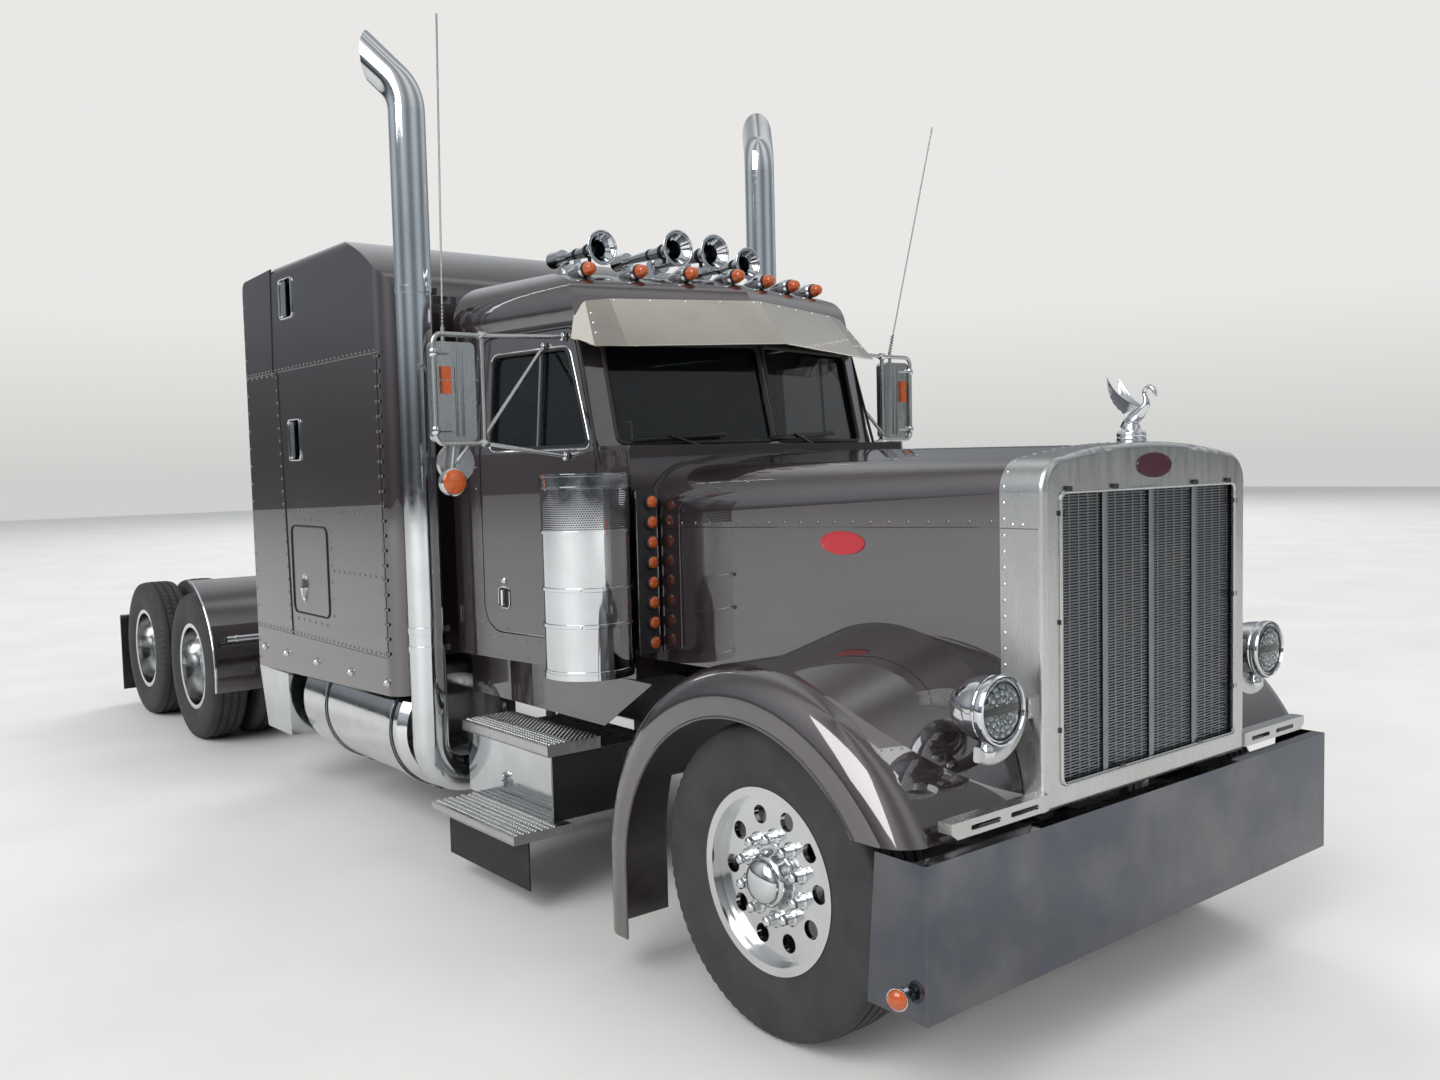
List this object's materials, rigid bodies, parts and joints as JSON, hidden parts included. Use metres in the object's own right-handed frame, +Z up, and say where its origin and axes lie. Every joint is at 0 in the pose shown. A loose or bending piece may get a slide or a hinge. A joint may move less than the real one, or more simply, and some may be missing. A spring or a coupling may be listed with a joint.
{
  "type": "semi truck tractor unit",
  "caption": "Long-nose conventional semi truck tractor with a sleeper box, tilting hood, opening doors, tall exhaust stacks and tandem drive axles.",
  "frame": {"origin": "on the ground under the middle of the truck, halfway between the bumper face and the frame tail", "axes": "+X forward towards the bumper, +Y to the left of the driver, +Z up"},
  "size_m": [9.5, 3.008, 4.1458],
  "materials": {
    "body_paint": "gloss",
    "frame_paint": "satin",
    "chrome": "polished",
    "polished_alloy": "polished",
    "tyre": "matte",
    "glass": "clear",
    "grille_steel": "satin",
    "engine_iron": "rough",
    "boot_rubber": "matte",
    "cab_trim": "matte",
    "lamp_lens": "gloss"
  },
  "bodies": {
    "chassis": {"air_cleaners": "chrome", "air_horns": "chrome", "body_skirts": "body_paint", "cab_boot": "boot_rubber", "cab_interior": "cab_trim", "cab_shell": "body_paint", "cowl_lamps": "chrome", "drive_axles": "frame_paint", "engine_block": "engine_iron", "exhaust_stacks": "chrome", "fifth_wheel_base": "frame_paint", "frame": "frame_paint", "front_axle": "frame_paint", "front_bumper": "chrome", "fuel_tanks": "polished_alloy", "radiator": "frame_paint", "rear_fenders": "frame_paint", "rear_suspension": "frame_paint", "roof_lamps": "lamp_lens", "seats": "cab_trim", "side_extenders": "body_paint", "sleeper_shell": "body_paint", "sleeper_windows": "glass", "step_boxes": "polished_alloy", "step_flaps": "boot_rubber", "sun_visor": "chrome", "tail_lamps": "lamp_lens", "tank_fairings": "chrome", "windshield": "glass"},
    "hood": {"hood": "body_paint", "fenders": "body_paint", "grille_shell": "chrome", "grille": "grille_steel", "headlamps": "chrome", "hood_ornament": "chrome"},
    "fifth_wheel": {"fifth_wheel_plate": "frame_paint"},
    "tie_rod": {"tie_rod": "frame_paint"},
    "door_right": {"door_right": "body_paint", "window_right": "glass", "mirror_right": "chrome"},
    "luggage_door_right": {"luggage_door_right": "body_paint"},
    "knuckle_right": {"knuckle_right": "frame_paint"},
    "front_wheel_right": {"front_tyre_right": "tyre", "front_rim_right": "polished_alloy"},
    "rear_wheel_1_right": {"rear_tyres_1_right": "tyre", "rear_rims_1_right": "polished_alloy"},
    "rear_wheel_2_right": {"rear_tyres_2_right": "tyre", "rear_rims_2_right": "polished_alloy"},
    "door_left": {"door_left": "body_paint", "window_left": "glass", "mirror_left": "chrome"},
    "luggage_door_left": {"luggage_door_left": "body_paint"},
    "knuckle_left": {"knuckle_left": "frame_paint"},
    "front_wheel_left": {"front_tyre_left": "tyre", "front_rim_left": "polished_alloy"},
    "rear_wheel_1_left": {"rear_tyres_1_left": "tyre", "rear_rims_1_left": "polished_alloy"},
    "rear_wheel_2_left": {"rear_tyres_2_left": "tyre", "rear_rims_2_left": "polished_alloy"}
  },
  "joints": [
    {"name": "hood_tilt", "type": "hinge", "parent": "chassis", "child": "hood", "pos_m": [4.7, 0, 0.845], "axis": [0, 1, 0], "range_deg": [0, 70]},
    {"name": "fifth_wheel_pitch", "type": "hinge", "parent": "chassis", "child": "fifth_wheel", "pos_m": [-3.12, 0, 1.13], "axis": [0, 1, 0], "range_deg": [-12, 12]},
    {"name": "door_open_right", "type": "hinge", "parent": "chassis", "child": "door_right", "pos_m": [2.556, -0.8695, 1.6], "axis": [0, 0, 1], "range_deg": [0, 70]},
    {"name": "luggage_open_right", "type": "hinge", "parent": "chassis", "child": "luggage_door_right", "pos_m": [0.276, -1.209, 1.41], "axis": [0, 0, 1], "range_deg": [0, 90]},
    {"name": "steer_right", "type": "hinge", "parent": "chassis", "child": "knuckle_right", "pos_m": [3.95, -0.88, 0.492], "axis": [0, 0, 1], "range_deg": [-35, 35]},
    {"name": "roll_front_right", "type": "hinge", "parent": "knuckle_right", "child": "front_wheel_right", "pos_m": [3.95, -1.035, 0.55], "axis": [0, 1, 0], "continuous": true},
    {"name": "roll_rear_1_right", "type": "hinge", "parent": "chassis", "child": "rear_wheel_1_right", "pos_m": [-2.55, -0.9125, 0.55], "axis": [0, 1, 0], "continuous": true},
    {"name": "roll_rear_2_right", "type": "hinge", "parent": "chassis", "child": "rear_wheel_2_right", "pos_m": [-3.87, -0.9125, 0.55], "axis": [0, 1, 0], "continuous": true},
    {"name": "door_open_left", "type": "hinge", "parent": "chassis", "child": "door_left", "pos_m": [2.556, 0.8695, 1.6], "axis": [0, 0, -1], "range_deg": [0, 70]},
    {"name": "luggage_open_left", "type": "hinge", "parent": "chassis", "child": "luggage_door_left", "pos_m": [0.276, 1.209, 1.41], "axis": [0, 0, -1], "range_deg": [0, 90]},
    {"name": "steer_left", "type": "hinge", "parent": "chassis", "child": "knuckle_left", "pos_m": [3.95, 0.88, 0.492], "axis": [0, 0, 1], "range_deg": [-35, 35]},
    {"name": "roll_front_left", "type": "hinge", "parent": "knuckle_left", "child": "front_wheel_left", "pos_m": [3.95, 1.035, 0.55], "axis": [0, 1, 0], "continuous": true},
    {"name": "roll_rear_1_left", "type": "hinge", "parent": "chassis", "child": "rear_wheel_1_left", "pos_m": [-2.55, 0.9125, 0.55], "axis": [0, 1, 0], "continuous": true},
    {"name": "roll_rear_2_left", "type": "hinge", "parent": "chassis", "child": "rear_wheel_2_left", "pos_m": [-3.87, 0.9125, 0.55], "axis": [0, 1, 0], "continuous": true},
    {"name": "tie_rod_swing", "type": "hinge", "parent": "knuckle_left", "child": "tie_rod", "pos_m": [3.715, 0.82, 0.4], "axis": [0, 0, 1], "range_deg": [-35, 35]}
  ],
  "couplings": [
    {"joint": "steer_right", "follows": "steer_left", "ratio": 1},
    {"joint": "tie_rod_swing", "follows": "steer_left", "ratio": -1}
  ]
}
